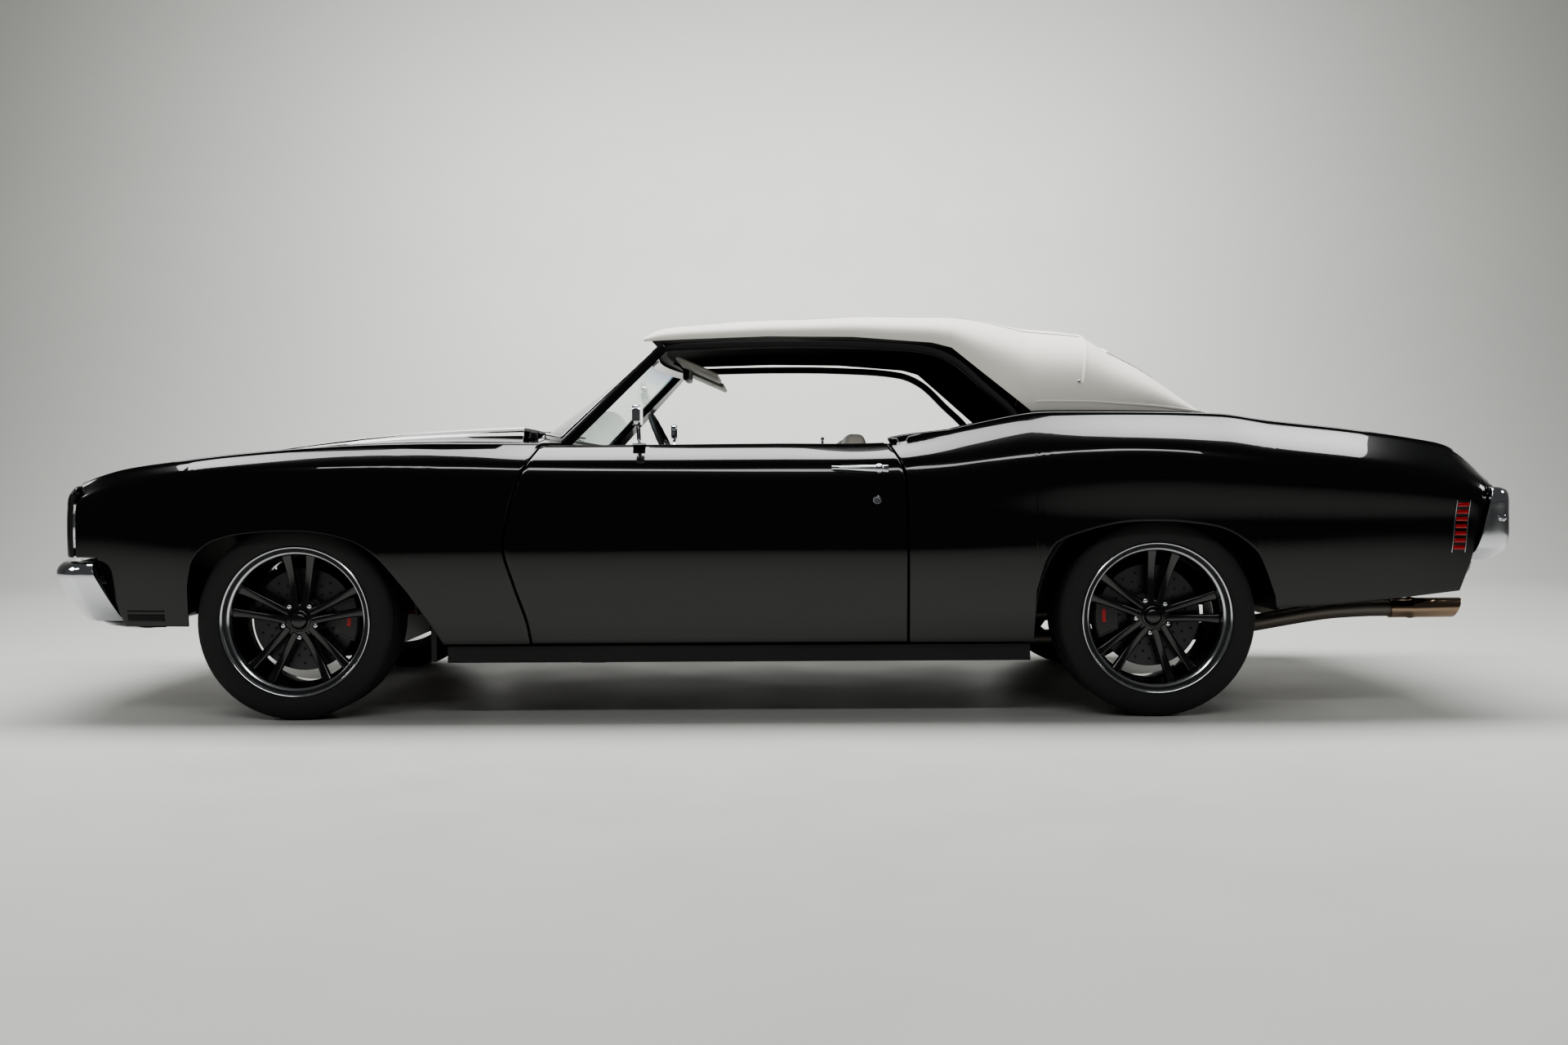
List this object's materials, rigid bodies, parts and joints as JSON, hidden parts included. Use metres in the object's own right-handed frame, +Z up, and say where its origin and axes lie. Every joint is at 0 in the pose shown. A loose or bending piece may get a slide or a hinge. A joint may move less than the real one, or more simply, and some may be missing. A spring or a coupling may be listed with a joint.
{
  "type": "two-door convertible muscle car",
  "caption": "Low, wide convertible car with a raised white folding top and a domed hood; doors, hood and trunk lid open, front wheels steer and all wheels roll.",
  "frame": {"origin": "centre of the car's bounding box, on the floor under the tyres", "axes": "+X towards the rear bumper, +Y towards the car's right side, +Z up"},
  "size_m": [5.009, 1.9228, 1.3787],
  "materials": {
    "black_paint": "gloss black paint",
    "chrome": "polished chrome",
    "glass": "lightly tinted glass",
    "clear_vinyl": "clear rear window",
    "top_fabric": "white pebbled top cloth",
    "seat_vinyl": "off-white vinyl",
    "interior_plastic": "grained black plastic",
    "grille_plastic": "satin black",
    "lamp_glass": "clear lamp lens",
    "red_lens": "red lens",
    "tyre_rubber": "rubber",
    "wheel_alloy": "black spokes, polished lip",
    "chassis_paint": "satin chassis black",
    "cast_iron": "cast",
    "engine_iron": "cast block",
    "exhaust_steel": "heat tinted steel",
    "tank_steel": "zinc plated"
  },
  "bodies": {
    "body": {"chassis_frame": "chassis_paint", "floor_pan": "chassis_paint", "front_wheelhouses": "chassis_paint", "rear_wheelhouses": "chassis_paint", "engine": "engine_iron", "cowl_panel": "black_paint", "windshield_frame": "black_paint", "windshield_glass": "glass", "front_fender_left": "black_paint", "front_fender_right": "black_paint", "nose_panel": "black_paint", "grille": "grille_plastic", "headlamps": "lamp_glass", "front_bumper": "chrome", "front_valance": "chassis_paint", "door_hinge_pins": "chassis_paint", "quarter_panel_left": "black_paint", "quarter_panel_right": "black_paint", "deck_panel": "black_paint", "tail_panel": "black_paint", "rear_bumper": "chrome", "tail_lamps": "red_lens", "rear_valance": "chassis_paint", "rocker_panels": "chassis_paint", "soft_top": "top_fabric", "rear_window": "clear_vinyl", "top_rails": "chassis_paint", "front_seats": "seat_vinyl", "rear_seat": "seat_vinyl", "dashboard": "interior_plastic", "front_suspension": "cast_iron", "rear_axle": "cast_iron", "exhaust": "exhaust_steel", "fuel_tank": "tank_steel"},
    "hood_hinges": {"hood_hinges": "chassis_paint"},
    "hood": {"hood": "black_paint"},
    "trunk_lid": {"trunk_lid": "black_paint"},
    "door_left": {"door_left": "black_paint", "mirror_left": "chrome"},
    "door_right": {"door_right": "black_paint", "mirror_right": "chrome"},
    "steering_wheel": {"steering_wheel": "interior_plastic"},
    "knuckle_left": {"knuckle_left": "cast_iron"},
    "knuckle_right": {"knuckle_right": "cast_iron"},
    "wheel_front_left": {"wheel_front_left": "wheel_alloy", "tyre_front_left": "tyre_rubber"},
    "wheel_front_right": {"wheel_front_right": "wheel_alloy", "tyre_front_right": "tyre_rubber"},
    "wheel_rear_left": {"wheel_rear_left": "wheel_alloy", "tyre_rear_left": "tyre_rubber"},
    "wheel_rear_right": {"wheel_rear_right": "wheel_alloy", "tyre_rear_right": "tyre_rubber"}
  },
  "joints": [
    {"name": "door_left_hinge", "type": "hinge", "parent": "body", "child": "door_left", "pos_m": [-0.921, -0.917, 0.6], "axis": [0, 0, -1], "range_deg": [0, 65]},
    {"name": "door_right_hinge", "type": "hinge", "parent": "body", "child": "door_right", "pos_m": [-0.921, 0.917, 0.6], "axis": [0, 0, 1], "range_deg": [0, 65]},
    {"name": "hood_arm_pivot", "type": "hinge", "parent": "body", "child": "hood_hinges", "pos_m": [-1.03, 0, 0.786], "axis": [0, -1, 0], "range_deg": [0, 40]},
    {"name": "hood_pivot", "type": "hinge", "parent": "hood_hinges", "child": "hood", "pos_m": [-0.9501, 0, 0.8659], "axis": [0, 1, 0], "range_deg": [0, 90]},
    {"name": "trunk_lid_hinge", "type": "hinge", "parent": "body", "child": "trunk_lid", "pos_m": [1.595, 0, 0.96789], "axis": [0, -1, 0], "range_deg": [0, 70]},
    {"name": "steer_left", "type": "hinge", "parent": "body", "child": "knuckle_left", "pos_m": [-1.5675, -0.6895, 0.326], "axis": [0, 0, 1], "range_deg": [-30, 30]},
    {"name": "steer_right", "type": "hinge", "parent": "body", "child": "knuckle_right", "pos_m": [-1.5675, 0.6895, 0.326], "axis": [0, 0, 1], "range_deg": [-30, 30]},
    {"name": "steering_wheel_turn", "type": "hinge", "parent": "body", "child": "steering_wheel", "pos_m": [-0.352, -0.375, 0.858], "axis": [0.9063, 0, 0.4226], "range_deg": [-450, 450]},
    {"name": "wheel_front_left_spin", "type": "hinge", "parent": "knuckle_left", "child": "wheel_front_left", "pos_m": [-1.5675, -0.7615, 0.326], "axis": [0, 1, 0], "continuous": true},
    {"name": "wheel_front_right_spin", "type": "hinge", "parent": "knuckle_right", "child": "wheel_front_right", "pos_m": [-1.5675, 0.7615, 0.326], "axis": [0, 1, 0], "continuous": true},
    {"name": "wheel_rear_left_spin", "type": "hinge", "parent": "body", "child": "wheel_rear_left", "pos_m": [1.2775, -0.7595, 0.326], "axis": [0, 1, 0], "continuous": true},
    {"name": "wheel_rear_right_spin", "type": "hinge", "parent": "body", "child": "wheel_rear_right", "pos_m": [1.2775, 0.7595, 0.326], "axis": [0, 1, 0], "continuous": true}
  ],
  "couplings": [
    {"joint": "hood_pivot", "follows": "hood_arm_pivot", "ratio": 2.25},
    {"joint": "steer_right", "follows": "steer_left", "ratio": 1},
    {"joint": "steering_wheel_turn", "follows": "steer_left", "ratio": 15}
  ]
}
